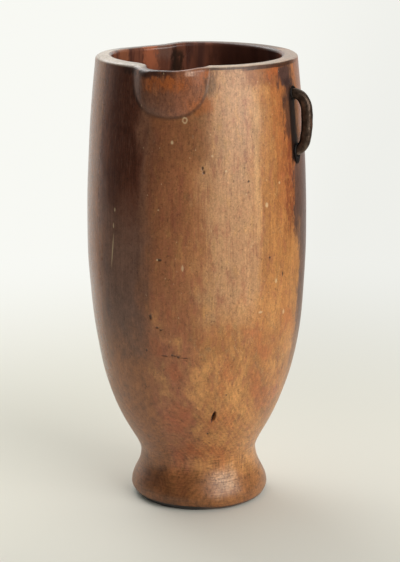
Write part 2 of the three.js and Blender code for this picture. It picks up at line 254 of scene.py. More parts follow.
def carved_wood_mesh():
    """The vessel's points, faces and the shares that its finish reads, row by row from the sole."""
    turns, bearing = column_bearings()

    # The rim was cut a little lower at the back left, almost straight, up to a small step
    low_back = stretch(bearing, 122, 19, 212, 62)
    low_lip = smooth(turns, -26, -12) * smooth(turns, 17, 3)
    ripple = uneven(bearing, 0, RIM_RADIUS, 26, 3)
    top = RIM_HEIGHT - 0.1 - BACK_DIP * low_back - LIP_DIP * low_lip - RIPPLE * (1 + ripple)

    # Its top falls outward over more than half of the wall, and the shoulder left of the lip is rounder
    outer_top = blended_max(outside_radius(top), lip_reach(bearing, top), LIP_RIM_SOFTNESS)
    inner_top = blended_max(inside_radius(top), channel_reach(bearing, top), CHANNEL_SOFTNESS)
    wall = outer_top - inner_top
    shoulder = smooth(turns, -30, -24) * smooth(turns, -8, -15)
    left_side = stretch(bearing, 175, 25, -112, 20)
    right_back = stretch(bearing, 30, 20, 125, 20)
    right_front = stretch(bearing, -60, 12, 20, 25)
    bevel_drop = BEVEL_DROP + 3.6 * shoulder + 1.6 * left_side - 1.1 * right_back - 1.4 * right_front
    bevel = np.minimum(BEVEL_WIDTH - 2 * shoulder - 3 * right_front, wall * 0.55)
    inner_round = np.minimum(INNER_ROUND + 1.2 * right_front, wall * 0.45)

    rings, lips, crease_shades = [], [], []

    def ring(radius, height, shift=1.0):
        """One row of points, with its shares; the hollow's rows have no shift."""
        radius, height = np.broadcast_to(radius, bearing.shape), np.broadcast_to(height, bearing.shape)
        proud = lip_reach(bearing, height) - outside_radius(height)
        lips.append(smooth(proud, -0.5, 1.5))
        # The crease where the lip meets the wall, which the finish darkens as painted shade
        near_edge = smooth(np.abs(proud + 0.3), 1.5, 0.3)
        crease_shades.append(near_edge * smooth(LIP_TOP - height, 12, 26) * (radius > 80))
        moved = shift * FOOT_SHIFT * np.maximum(0, 1 - height / FOOT_REACH) ** 2.6
        x = radius * np.cos(bearing) + moved * math.cos(FOOT_BEARING)
        y = radius * np.sin(bearing) + moved * math.sin(FOOT_BEARING)
        rings.append(np.stack([x, y, height], 1))

    # The flat underside, then the worn edge of the sole: steep and crisp at the left, rounder at the right
    worn = stretch(bearing, -75, 45, 40, 50)
    contact = CONTACT_RADIUS - 2.4 * worn + 0.5 * uneven(bearing, 0, 56, 14, 8)
    corner = EDGE_RADIUS - 0.4 * worn
    corner_height = EDGE_HEIGHT - 1.9 * worn
    for share in (0.2, 0.4, 0.6, 0.8, 0.94):
        ring(contact * share, 0)
    ring(contact, 0)
    for share in (0.12, 0.3, 0.55, 0.8, 0.95):
        swell = np.sin(share * math.pi) * (0.3 + 0.7 * worn)
        ring(contact + (corner - contact) * share + swell * 0.6, corner_height * share - swell * 0.5)
    ring(corner, corner_height)
    for share in (0.15, 0.4, 0.7):
        ring(corner + (FLARE_RADIUS - corner) * math.sin(share * math.pi / 2),
             corner_height + (FLARE_HEIGHT - corner_height) * share)

    # The outside, with the slight hollows and swells that the adze and the knife left
    levels = np.concatenate([
        np.arange(FLARE_HEIGHT, 60, 1.9), np.arange(60, 86, 3.2), np.arange(87, 101, 0.7),
        np.arange(102, 338, 3.4), np.arange(338, 393, 1.2)])
    fuller_left = stretch(bearing, 135, 40, 275, 40)
    fuller_right = stretch(bearing, -40, 40, 90, 40)
    flatter_left = stretch(bearing, 165, 32, 245, 32)
    for level in levels:
        share = (level - FLARE_HEIGHT) / (levels[-1] - FLARE_HEIGHT)
        height = FLARE_HEIGHT + share * (top - bevel_drop - FLARE_HEIGHT)
        radius = outside_radius(height + 2 * fuller_left * smooth(height, 18, 32) * smooth(height, 115, 80))
        radius = radius + 0.9 * fuller_right * smooth(height, 92, 135) * smooth(height, 205, 155)
        fade = min(1, (level - FLARE_HEIGHT) / 20)
        radius = radius + fade * (0.32 * uneven(bearing, height, radius, 42, 11) - 0.1)
        radius = radius + fade * 0.12 * uneven(bearing, height, radius, 15, 5)
        radius = radius - 0.9 * flatter_left * smooth(height, 110, 150) * smooth(height, 225, 190)
        radius = radius - slit_depth(bearing, height, radius)
        ring(blended_max(radius, lip_reach(bearing, height), LIP_FOOT_SOFTNESS), height)

    # The rim: the bevel outside, a narrow crown, and a small round inside
    edge = top - bevel_drop
    outer_edge = blended_max(outside_radius(edge), lip_reach(bearing, edge), LIP_RIM_SOFTNESS) - 0.1
    for angle in np.radians([9, 20, 32, 45, 58, 70, 80]):
        ring(outer_edge - bevel * (1 - math.cos(angle)), edge + bevel_drop * math.sin(angle))
    crown_out, crown_in = outer_edge - bevel, inner_top + inner_round
    for share in (0, 0.33, 0.66, 1):
        ring(crown_out + (crown_in - crown_out) * share, top)
    for angle in np.radians([75, 55, 35, 15]):
        ring(crown_in - inner_round * math.cos(angle), top - inner_round + inner_round * math.sin(angle), 0)

    # The hollow, with the long flutes of the gouge running down it
    start = top - inner_round
    for level in np.concatenate([np.arange(0, 50, 1.7), np.arange(50, 325, 6.5)]):
        height = start - (start - FLOOR_HEIGHT) * (level / HOLLOW_ROWS)
        flutes = np.sin(turned_from(bearing, 0) / 360 * 2 * math.pi * FLUTE_COUNT
                        + 2.4 * uneven(bearing, height * 0.4, inside_radius(height), 30, 21))
        depth = FLUTE_DEPTH * min(1, level / 18) * min(1, (HOLLOW_ROWS - level) / 120)
        radius = inside_radius(height) + depth * flutes - 0.1
        ring(blended_max(radius, channel_reach(bearing, height), CHANNEL_SOFTNESS), height, 0)

    # One point in the middle of the sole and one in the middle of the hollow's floor close it
    points = np.concatenate(rings)
    columns, under, bottom = len(bearing), len(points), len(points) + 1
    sole = (FOOT_SHIFT * math.cos(FOOT_BEARING), FOOT_SHIFT * math.sin(FOOT_BEARING), 0)
    points = np.vstack([points, [sole, (0, 0, FLOOR_HEIGHT)]])
    shares = {"lip": np.append(np.concatenate(lips), [0, 0]),
              "crease_shade": np.append(np.concatenate(crease_shades), [0, 0])}
    faces = skin(len(rings), columns)
    last = (len(rings) - 1) * columns
    for column in range(columns):
        beside = (column + 1) % columns
        faces.append((under, beside, column))
        faces.append((bottom, last + column, last + beside))
    return points, faces, shares


def piece(name, points, faces, shares=()):
    """A smooth mesh object from points in millimetres, with any named shares that its finish reads."""
    mesh = bpy.data.meshes.new(name)
    mesh.from_pydata((np.asarray(points) * mm).tolist(), [], faces)
    for share in shares:
        attribute = mesh.attributes.new(share, "FLOAT", "POINT")
        attribute.data.foreach_set("value", shares[share].astype(np.float32))
    mesh.polygons.foreach_set("use_smooth", [True] * len(mesh.polygons))
    made = bpy.data.objects.new(name, mesh)
    bpy.context.scene.collection.objects.link(made)
    return made


# The two holes for the loop's ends run through the wall towards the loop, which stands at bearing 0
UPPER_HOLE_HEIGHT = RIM_HEIGHT - 28.7
LOWER_HOLE_HEIGHT = UPPER_HOLE_HEIGHT - 49.5
UPPER_HOLE_SLOPE, LOWER_HOLE_SLOPE = 0, math.radians(24)
HOLE_RADIUS = 5.8


def hole_ends(height, slope):
    """Where the middle of a hole leaves the outside and the hollow, and its direction inward."""
    outer = np.array([outside_radius(height), 0, height])
    inward = np.array([-math.cos(slope), 0, -math.sin(slope)])
    step = 0.02
    reach = 0
    while (outer + inward * reach)[0] > inside_radius((outer + inward * reach)[2]):
        reach += step
    return outer, outer + inward * reach, inward


def drill_hole(body, height, slope):
    """Cuts one hole through the wall."""
    outer, inner, inward = hole_ends(height, slope)
    middle = Vector((outer + inner) / 2) * mm
    bpy.ops.mesh.primitive_cylinder_add(vertices=48, radius=HOLE_RADIUS * mm, depth=40 * mm, location=middle)
    drill = bpy.context.object
    drill.rotation_mode = "QUATERNION"
    drill.rotation_quaternion = Vector(inward).to_track_quat("Z", "Y")
    cut = body.modifiers.new("hole", "BOOLEAN")
    cut.object = drill
    cut.operation = "DIFFERENCE"
    cut.solver = "EXACT"
    bpy.context.view_layer.update()
    whole = body.evaluated_get(bpy.context.evaluated_depsgraph_get())
    mesh = bpy.data.meshes.new_from_object(whole)
    body.modifiers.clear()
    body.data = mesh
    bpy.data.objects.remove(drill)


def seen(red, green, blue):
    """A colour as a screen shows it, 0 to 255, as Blender's shaders take it."""
    shares = [value / 255 for value in (red, green, blue)]
    return (*[part / 12.92 if part <= 0.04045 else ((part + 0.055) / 1.055) ** 2.4 for part in shares], 1)


class Layers:
    """Light or colour built up in layers; most calls add a node and give back what comes out of it."""

    def __init__(self, tree):
        self.tree = tree
        self.colour = None

    def add(self, kind):
        return self.tree.nodes.new("ShaderNode" + kind)

    def put(self, value, socket):
        """Feeds a socket with what comes out of another node, or with a plain value."""
        if isinstance(value, bpy.types.NodeSocket):
            self.tree.links.new(value, socket)
        else:
            socket.default_value = value

    def number(self, operation, *values):
        node = self.add("Math")
        node.operation = operation
        for value, socket in zip(values, node.inputs):
            self.put(value, socket)
        return node.outputs[0]

    def times(self, one, other):
        return self.number("MULTIPLY", one, other)

    def plus(self, one, other):
        return self.number("ADD", one, other)

    def minus(self, one, other):
        return self.number("SUBTRACT", one, other)

    def swing(self, grain, strength):
        """A noise turned into a push both ways, by up to half of strength."""
        return self.times(self.minus(grain, 0.5), strength)

    def vector(self, operation, *values):
        node = self.add("VectorMath")
        node.operation = operation
        for value, socket in zip(values, node.inputs):
            self.put(value, socket)
        return node.outputs["Value" if operation in ("LENGTH", "DOT_PRODUCT") else "Vector"]

    def diagonal(self, x, y):
        """How far away x and y together lie."""
        return self.number("SQRT", self.plus(self.times(x, x), self.times(y, y)))

    def parts(self, vector):
        node = self.add("SeparateXYZ")
        self.put(vector, node.inputs[0])
        return node.outputs[0], node.outputs[1], node.outputs[2]

    def whole(self, x, y, z):
        node = self.add("CombineXYZ")
        for value, socket in zip((x, y, z), node.inputs):
            self.put(value, socket)
        return node.outputs[0]

    def between(self, value, low, high, first=0.0, last=1.0):
        """A soft step from first to last while value goes from low to high."""
        node = self.add("MapRange")
        node.interpolation_type = "SMOOTHSTEP"
        self.put(value, node.inputs["Value"])
        if low > high:
            low, high, first, last = high, low, last, first
        for name, number in (("From Min", low), ("From Max", high), ("To Min", first), ("To Max", last)):
            node.inputs[name].default_value = number
        return node.outputs["Result"]

    def share(self, name):
        """A share that the mesh carries, such as how much of a point lies on the lip."""
        node = self.add("Attribute")
        node.attribute_name = name
        return node.outputs["Fac"]

    def facing(self):
        """The way that the surface looks."""
        return self.add("NewGeometry").outputs["Normal"]

    def noise(self, size, detail=2.0, roughness=0.5, distortion=0.0, place=None):
        """Cloudy noise, 0 to 1, whose patches are about size across, in millimetres or as three sizes."""
        scale = size if isinstance(size, tuple) else (size, size, size)
        node = self.add("TexNoise")
        self.put(self.vector("DIVIDE", place or self.place, scale), node.inputs["Vector"])
        settings = {"Scale": 1, "Detail": detail, "Roughness": roughness, "Distortion": distortion}
        for name, number in settings.items():
            node.inputs[name].default_value = number
        return node.outputs["Fac"]

    def over(self, under, colour, where, strength=1):
        """One colour over another, as far as a mask lets it; three numbers are a colour on a screen."""
        if strength != 1:
            where = self.times(where, strength)
        node = self.add("Mix")
        node.data_type = "RGBA"
        inputs = {(socket.name, socket.type): socket for socket in node.inputs}
        self.put(where, inputs["Factor", "VALUE"])
        for value, name in ((under, "A"), (colour, "B")):
            plain = isinstance(value, tuple) and len(value) == 3
            self.put(seen(*value) if plain else value, inputs[name, "RGBA"])
        return [socket for socket in node.outputs if socket.type == "RGBA"][0]

    def shaded(self, share, one, other):
        """Goes from one shader to the other as far as share says."""
        node = self.add("MixShader")
        for value, socket in zip((share, one.outputs[0], other.outputs[0]), node.inputs):
            self.put(value, socket)
        return node.outputs[0]

    def lay(self, colour, where, strength=1):
        """Lays a colour over all that is there."""
        self.colour = self.over(self.colour, colour, where, strength)


class Finish(Layers):
    """The material of one piece, whose noises and marks are placed in the piece's own millimetres."""

    def __init__(self, name):
        self.material = bpy.data.materials.new(name)
        self.material.use_nodes = True
        super().__init__(self.material.node_tree)
        self.shader = self.tree.nodes["Principled BSDF"]
        place = self.add("TexCoord")
        self.place = self.vector("MULTIPLY", place.outputs["Object"], (1 / mm, 1 / mm, 1 / mm))

    def done(self, roughness, height, depth):
        """Puts the colour, the roughness, and a relief whose full height is depth in millimetres."""
        self.put(self.colour, self.shader.inputs["Base Color"])
        self.put(roughness, self.shader.inputs["Roughness"])
        bump = self.add("Bump")
        bump.inputs["Distance"].default_value = depth * mm
        self.put(height, bump.inputs["Height"])
        self.put(bump.outputs["Normal"], self.shader.inputs["Normal"])
        return self.material


def wood_finish():
    """The wood's colour, gloss and relief, from the bare wood up through its stains, wear and knocks."""
    wood = Finish("carved wood")
    times, plus, minus, between, swing = wood.times, wood.plus, wood.minus, wood.between, wood.swing
    x, y, height = wood.parts(wood.place)
    bearing = wood.number("DEGREES", wood.number("ARCTAN2", y, x))
    radius = wood.diagonal(x, y)

    # The stains have wandering edges
    drift = wood.noise((22, 22, 55), 3, 0.55)
    frays = wood.noise((5, 5, 16), 4, 0.6)
    stained = plus(bearing, plus(swing(drift, 18), swing(frays, 7)))
    rising = plus(height, swing(wood.noise(16, 3), 50))

    def patch(left, right, low, high, side=6.0, end=30.0, line=None, rise=None):
        """A stain between two bearings and two heights, with edges that soften over side and end."""
        middle, half = (left + right) / 2, (right - left) / 2
        turn = wood.number("WRAP", minus(line or stained, middle), 180, -180)
        wide = between(wood.number("ABSOLUTE", turn), half + side / 2, half - side / 2)
        rise = rise or rising
        tall = times(between(rise, low - end / 2, low + end / 2),
                     between(rise, high + end / 2, high - end / 2))
        return times(wide, tall)

    def stain(colour, strength, *where):
        """Lays a colour over one patch."""
        wood.lay(colour, patch(*where), strength)

    def dapple(colour, strength, grain, low, high, *where):
        """Lays a colour over one patch where a noise goes from low to high."""
        wood.lay(colour, times(between(grain, low, high), patch(*where)), strength)

    def mark(turn, rise, wide, tall, lean=0.0, soft=0.5):
        """A small spot or scar at a bearing and a height, wide and tall in millimetres."""
        on_the_lip = abs(turn - LIP_DEGREES) < 20 and rise > 360
        away = float(outside_radius(rise)) + (8 if on_the_lip else 0)
        turn = math.radians(turn)
        centre = (away * math.cos(turn), away * math.sin(turn), rise)
        offset = wood.vector("SUBTRACT", wood.place, centre)
        across = wood.vector("DOT_PRODUCT", offset, (-math.sin(turn), math.cos(turn), -lean))
        up = wood.vector("DOT_PRODUCT", offset, (0, 0, 1))
        deep = wood.vector("DOT_PRODUCT", offset, (math.cos(turn), math.sin(turn), 0))
        reach = wood.vector("LENGTH", wood.whole(
            wood.number("DIVIDE", across, wide / 2), wood.number("DIVIDE", up, tall / 2),
            wood.number("DIVIDE", deep, 14)))
        reach = plus(reach, swing(specks, 0.9))
        return between(reach, 1 + soft, 1 - soft)

    def any_of(masks):
        """The strongest of several masks."""
        most = masks[0]
        for other in masks[1:]:
            most = wood.number("MAXIMUM", most, other)
        return most

    # Growth rings round a heart that lies off the middle, and long fibres along the trunk
    heart = wood.vector("SUBTRACT", wood.place, (11, -19, 0))
    bending = wood.whole(wood.noise((40, 40, 120), 2), wood.noise((34, 34, 160), 2), 0)
    bent = wood.vector("ADD", heart, wood.vector("MULTIPLY", bending, (22, 22, 0)))
    leaning = wood.vector("MULTIPLY", wood.whole(height, height, 0), (0.03, 0.02, 0))
    heart_x, heart_y, _ = wood.parts(wood.vector("ADD", bent, leaning))
    ring_radius = wood.diagonal(heart_x, heart_y)
    fine = wood.noise((1.1, 1.1, 30), 3, 0.6)
    ring_radius = plus(ring_radius, times(fine, 1.6))
    year, good_years = 2.3, 8.7
    years = wood.number("SINE", times(ring_radius, 2 * math.pi / year))
    broad_years = wood.number("SINE", times(ring_radius, 2 * math.pi / good_years))
    fibres = wood.noise((0.8, 0.8, 36), 4, 0.65)
    streaks = wood.noise((4.0, 4.0, 130), 4, 0.6)
    clouds = wood.noise((34, 34, 60), 4, 0.6)
    mottles = wood.noise((7, 7, 11), 5, 0.62)
    specks = wood.noise(1.6, 3, 0.7)
    pores = wood.noise((2.4, 2.4, 3.4), 4, 0.75)
    rosy = wood.noise((5, 5, 15), 4, 0.6)
    crumbs = wood.noise((2.1, 2.1, 3.2), 2, 0.5)
    dirt = wood.noise((2.6, 2.6, 3.8), 3, 0.65, place=wood.vector("ADD", wood.place, (40, 0, 0)))
    girth = wood.whole(times(bearing, 1.1), 0, height)
    turned = wood.noise((11, 1, 1.5), 4, 0.65, 0.6, girth)

    # Bare wood: honey, more orange to the right of the front, tan above, redder to the left
    wood.colour = wood.over((168, 112, 62), (186, 130, 76), between(clouds, 0.35, 0.65))
    stain((190, 144, 104), 0.85, -63, -30, 185, 430, 18, 50)
    stain((182, 122, 66), 0.6, -30, -6, 120, 400, 9, 60)
    stain((156, 98, 64), 0.85, -100, -66, 30, 430, 16)

    # Redder streaks, then darker and paler blotches, reddish and ochre flakes, and embers low down
    dapple((126, 70, 44), 0.5, streaks, 0.46, 0.66, -98, -56, 40, 330, 12)
    dapple((124, 76, 46), 0.34, mottles, 0.5, 0.66, -100, -8, 20, 430, 12)
    dapple((214, 168, 116), 0.3, mottles, 0.46, 0.3, -70, -8, 100, 430, 12)
    dapple((146, 80, 60), 0.4, rosy, 0.5, 0.68, -104, -2, 15, 430, 12)
    dapple((196, 146, 84), 0.3, rosy, 0.46, 0.3, -92, -2, 15, 430, 12)
    embers = wood.noise((22, 22, 30), 3, 0.5)
    low_down = patch(-112, 0, 30, 200, 16, 50)
    wood.lay((164, 84, 46), times(between(embers, 0.52, 0.66), low_down), 0.42)
    wood.lay((206, 150, 88), times(between(embers, 0.46, 0.32), low_down), 0.42)
    streak = patch(-32, -28.4, 262, 372, 3, 50, plus(bearing, times(drift, 4)), height)
    wood.lay((226, 186, 132), streak, 0.26)
    wood.lay((92, 50, 30), times(between(stained, -66, -102), between(rising, 160, 350)), 0.85)
    stain((122, 76, 46), 0.6, -84, -57, 322, 420, 9, 30)

    # The dark side: purple-brown patina, nearly black towards the rim, and thinner again round the back
    stain((148, 92, 50), 1, -230, -92, 20, 430, 12, 60)
    stain((112, 80, 66), 0.95, -124, -91, 160, 430, 14, 70)
    stain((106, 56, 32), 0.95, -125, -95, 280, 440, 8, 80)
    stain((76, 37, 22), 0.9, -116, -95, 285, 440, 8, 80)

    # Smoke and grease round the loop, with a red edge where they thin out
    ragged = wood.noise((2.6, 2.6, 6), 4, 0.7)
    jagged = plus(swing(frays, 14), swing(ragged, 10))
    edge = plus(bearing, jagged)
    wavy = plus(height, times(jagged, 0.8))
    reddened = times(between(edge, -23.5, -16.5), between(stained, 80, 10))
    wood.lay((160, 84, 42), times(reddened, between(rising, 240, 310)), 0.5)
    stain((134, 76, 46), 0.62, -38, -12, 382, 402, 10, 8, edge, wavy)
    stain((180, 92, 42), 0.5, -22, -13, 389, 397, 4, 4, edge, wavy)
    soaked = patch(-12, -2, 256, 350, 4, 24, edge, wavy)
    wood.lay((126, 62, 36), soaked, between(ragged, 0.4, 0.58, 0.25, 0.8))
    stain((62, 46, 46), 0.9, -14, 0, 378, 397, 5, 5, edge, wavy)
    stain((58, 38, 34), 0.85, -9, 1, 366, 386, 3, 5, edge, wavy)
    stain((72, 48, 40), 0.8, -12, 0, 336, 374, 4, 14, edge, wavy)

    def ran_down(left, right, low, high, fade):
        """A stain with a ragged left edge, fading out to the right and downward."""
        wide = times(between(edge, left - 1.5, left + 1.5), between(stained, right, right / 4))
        tall = times(between(rising, low - fade, low + 10),
                     between(wavy, high + 10, high - 10))
        return times(wide, tall)

    wood.lay((150, 104, 84), ran_down(5, 90, 240, 420, 90), 0.85)
    wood.lay((88, 64, 56), ran_down(-5, 34, 252, 332, 16), 0.9)
    wood.lay((102, 78, 68), ran_down(2, 44, 160, 262, 60), 0.85)
    # A near-black band on the wall between the loop's two holes: partly dark stain, partly painted shadow of
    # the loop
    stain((20, 13, 11), 0.92, -6, 0.8, 312, 376, 2, 8, bearing, wavy)

    # Grease on the lip, dark under its edge, and painted shade at the foot of it, in the crease where it
    # meets the wall
    on_lip, crease_shade = wood.share("lip"), wood.share("crease_shade")
    wood.lay((112, 70, 50), times(on_lip, patch(-120, -68, 340, 420, 16)), 0.85)
    wood.lay((144, 88, 60), times(on_lip, patch(-78, -54, 340, 420, 12)), 0.75)
    smeared = plus(bearing, times(jagged, 1.2))
    risen = plus(height, times(jagged, 1.1))
    smear = patch(-90, -68, 381, 394, 10, 8, smeared, risen)
    wood.lay((160, 84, 32), smear, between(mottles, 0.4, 0.62, 0.35, 0.85))
    stain((170, 92, 38), 0.5, -70, -56, 362, 374, 8, 8, smeared, risen)
    stain((172, 92, 42), 0.6, -64, -57, 386, 396, 4, 4, smeared, risen)
    stain((50, 29, 22), 0.85, -108, -76, 392.5, 402, 14, 4, smeared, wavy)
    # Painted highlight: a pale spot on the lip's crown, over a worn place
    stain((214, 170, 146), 0.85, -70.5, -64, 393.6, 397.8, 4, 2, stained, height)
    stain((104, 80, 62), 0.65, -61, -54, 380, 395, 4, 8, edge, wavy)
    wood.lay((66, 36, 26), times(on_lip, between(ragged, 0.5, 0.66)), 0.45)
    wood.lay((186, 116, 72), times(on_lip, between(mottles, 0.48, 0.3)), 0.4)
    # Painted shade in the crease at the foot of the lip
    wood.lay((56, 34, 26), crease_shade, 0.6)

    # The rim's crown is worn pale, with a painted highlight of the bright wall and the light above along it,
    # and a dark line runs along its outer edge, right of the lip
    uneven_edge = plus(height, swing(drift, 1.6))
    # Painted highlight: pale bands along the crown at the front, the right and the left, over pale wear
    stain((204, 184, 160), 0.6, -60, -10, 399.2, 404, 8, 0.4, bearing, height)
    stain((172, 152, 134), 0.7, -24, 44, 398.3, 404, 16, 1, stained, height)
    stain((214, 200, 184), 0.75, -200, -97, 397.5, 404, 10, 2.2, stained, height)
    stain((78, 52, 42), 0.85, 50, 182, 392, 404, 20, 3, stained, height)
    dark_rim_edge = any_of([patch(-60, 4, 397.2, 399.2, 8, 0.6, stained, uneven_edge),
                        patch(-38, 6, 395.8, 398.9, 12, 0.9, stained, uneven_edge)])
    wood.lay((58, 35, 26), dark_rim_edge, 0.85)

    # The foot is darker, and worn pale where hands and the ground rub it, with a painted highlight on that
    # patch; its bottom edge is painted dark as shade, and black at the left as the shadow under it
    wood.lay((120, 70, 38), between(rising, 44, 18, 0, 0.6))
    stain((84, 46, 26), 0.5, -128, -66, 4, 34, 22, 22)
    # Worn pale, with a painted highlight where the key lamp shines on the foot
    wood.lay((206, 164, 122), times(patch(-48, -26, 14, 36, 10, 10), between(turned, 0.34, 0.58)), 0.6)
    wood.lay((74, 40, 24), times(patch(-62, -14, 4, 34, 16, 12), between(ragged, 0.56, 0.66)), 0.6)
    # Painted shade on the bevel at the bottom of the foot, which faces the ground
    wood.lay((70, 42, 26), between(height, 4.6, 2.6), 0.8)
    # Painted shadow: a black line at the left, in the gap between the sole's edge and the ground
    stain((16, 11, 9), 0.95, -160, -56, -9, 4.9, 16, 0.5, stained, height)

    # Rings and fibres darken and lighten all of it, and grease has mottled it
    ringed = plus(between(clouds, 0.3, 0.7, 0.01, 0.04), between(height, 180, 70, 0, 0.06))
    depth = plus(times(years, ringed), times(broad_years, 0.025))
    for grain, strength in ((clouds, 0.3), (mottles, 0.75), (specks, 1.0), (pores, 0.9)):
        depth = plus(depth, swing(grain, strength))
    patchy = minus(mottles, 0.5)
    depth = plus(depth, times(patchy, between(height, 230, 130, 0, 0.6)))
    upright = between(height, 50, 120, 0.35, 1)
    for grain in (fibres, streaks):
        depth = plus(depth, times(swing(grain, 0.6), upright))
    around = minus(turned, 0.5)
    depth = plus(depth, times(around, between(height, 110, 40, 0.1, 1.5)))
    toned = wood.add("HueSaturation")
    wood.put(wood.colour, toned.inputs["Color"])
    wood.put(plus(depth, 1.0), toned.inputs["Value"])
    wood.colour = toned.outputs[0]

    # Knocks: pits where the wood chipped, short cracks, and pale flecks of bare wood and dried milk
    pits = any_of([mark(*place) for place in (
        (-62, 317, 1.8, 3), (-61.3, 313.5, 2.2, 3.2), (-38, 304, 2, 1.8), (-25, 236, 2.2, 2),
        (-15, 219, 1.6, 4), (-84, 238, 4, 2.4), (-89.5, 187, 2.6, 4.6), (-86, 178, 2.6, 2),
        (-84, 176, 2.2, 1.6), (-47, 115, 1.4, 1.4), (-78.3, 153.6, 2, 1.8), (-75, 152.3, 2.4, 2.2),
        (-57, 76, 1.4, 1.4), (-93, 156, 1.6, 2.6))])
    # The last of these is the slit that the knot left
    cracks = any_of([mark(-82.5, 152.6, 6, 0.8, 0, 0.7), mark(-77, 153.2, 6, 0.9, 0, 0.6),
                     mark(-71.6, 151.6, 6, 0.8, 0, 0.7), mark(-54, 94.2, 3, 11.5, 0.2, 0.15)])
    flecks = any_of([mark(*place) for place in (
        (-77.5, 338, 2.2, 3), (-50, 314, 1.8, 1.8), (-57, 327, 1.6, 1.8), (-18, 299, 2, 2),
        (-27, 282, 2.8, 4.2), (-111, 276, 1.6, 3), (-112, 262, 1.4, 4), (-85, 238, 1.6, 1.6),
        (-72, 232, 1.8, 5), (-20, 214, 2.2, 3.6), (-30, 189, 4, 2), (-12.5, 184, 2.6, 4),
        (-113, 240, 1.3, 26, 0.12))])
    flecks = any_of([flecks, times(between(crumbs, 0.7, 0.8), patch(-94, -6, 110, 420, 14))])
    ringlet = minus(mark(-71, 356.5, 4.4, 5.2, 0, 0.3), mark(-71, 356.5, 2.6, 3, 0, 0.4))
    flecks = any_of([flecks, ringlet])
    wood.lay((158, 120, 100), times(between(fibres, 0.5, 0.72), between(stained, -88, -104)), 0.22)
    dapple((70, 38, 24), 0.45, dirt, 0.6, 0.7, -130, 10, 10, 430, 14)
    # Painted shade: the pits, the cracks and the knot's slit are darkened, as the shade inside them
    wood.lay((48, 26, 16), any_of([pits, cracks]), 0.8)
    wood.lay((228, 202, 158), flecks, 0.5)

    # Fine scratches, slanting up to the right across the front, where a degree is 1.65 mm
    across, along = times(bearing, 1.65), height
    slant = wood.whole(minus(across, times(along, 0.42)), plus(along, times(across, 0.42)), 0)
    scratched = between(wood.noise((0.7, 34, 1), 3, 0.7, place=slant), 0.62, 0.74)
    scratched = times(scratched, patch(-68, -22, 190, 330, 16, 60))
    backward = wood.whole(plus(across, times(along, 0.75)), minus(along, times(across, 0.75)), 0)
    scuffed = between(wood.noise((0.8, 22, 1), 3, 0.7, place=backward), 0.6, 0.72)
    scuffed = times(scuffed, patch(-48, -20, 150, 190, 12, 24))
    wood.lay((226, 190, 144), any_of([scratched, scuffed]), 0.42)

    # The hollow, whose surface faces the middle, is darker, with redder patches towards the rim
    facing = wood.vector("DOT_PRODUCT", wood.facing(), wood.whole(x, y, 0))
    outward = wood.number("DIVIDE", facing, radius)
    floor_of_hollow = times(between(radius, 50, 40), between(height, 50, 60))
    within = any_of([between(outward, -0.05, -0.5), floor_of_hollow])
    panels = wood.noise((10, 10, 130), 3, 0.5)
    inside = wood.over((92, 56, 46), (134, 82, 62), between(panels, 0.42, 0.6))
    for shade, strength, *where in (
            ((190, 112, 78), 0.85, 143, 154, 375, 420, 5, 20, edge, wavy),
            ((166, 104, 72), 0.7, 170, 182, 375, 420, 5, 20, edge, wavy),
            ((136, 102, 88), 0.6, 133, 143, 386, 420, 5, 8, edge, wavy),
            ((50, 38, 30), 0.85, 125, 133, 300, 394, 5, 8, edge, wavy),
            ((68, 38, 30), 0.8, 40, 104, 300, 420, 12, 20, edge)):
        inside = wood.over(inside, shade, patch(*where), strength)
    inside = wood.over(inside, (46, 28, 22), between(height, 372, 290))
    wood.lay(inside, within)

    # Worn smooth and waxy, most of all on the dark side
    roughness = plus(0.24, times(fibres, 0.08))
    roughness = plus(roughness, times(mottles, 0.12))
    roughness = minus(roughness, times(patch(-240, -124, 120, 430, 16), 0.12))
    relief = plus(times(fibres, 0.35), times(mottles, 0.5))
    relief = minus(relief, any_of([pits, cracks]))
    return wood.done(roughness, relief, 0.35)


vessel = piece("vessel", *carved_wood_mesh())
drill_hole(vessel, UPPER_HOLE_HEIGHT, UPPER_HOLE_SLOPE)
drill_hole(vessel, LOWER_HOLE_HEIGHT, LOWER_HOLE_SLOPE)
vessel.data.materials.clear()
vessel.data.materials.append(wood_finish())
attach(vessel, "root")
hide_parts("vessel_body")


# The carrying loop: one bar of iron, hammered to a blunt square, bent hot into a D. Its ends are drawn
# out thin, driven through the two holes and bent down against the wall of the hollow.

# How far the bar stands off the wall, its two corners, and its thickness and width from the middle out
LOOP_STAND_OFF = 11.35
UPPER_CORNER, UPPER_RUN, LOWER_CORNER, LOWER_RUN, CORNER_FULLNESS = 18, 9, 27, 9, 0.55
BAR_SIZE, ROOT_SIZE, TANG_SIZE, TIP_SIZE = (9.7, 8.9), (9, 8.6), (4.6, 5.4), (1.6, 2.6)
BAR_SIDES, BAR_SQUARENESS = 36, 2.6
CROSSWISE = np.array([0, 1, 0])

# The tips: how long they are, how far they stand in the hollow, and where they bend
CLINCH_LENGTH, CLINCH_REACH, CLINCH_LEAN = 16, 6.5, 0.55


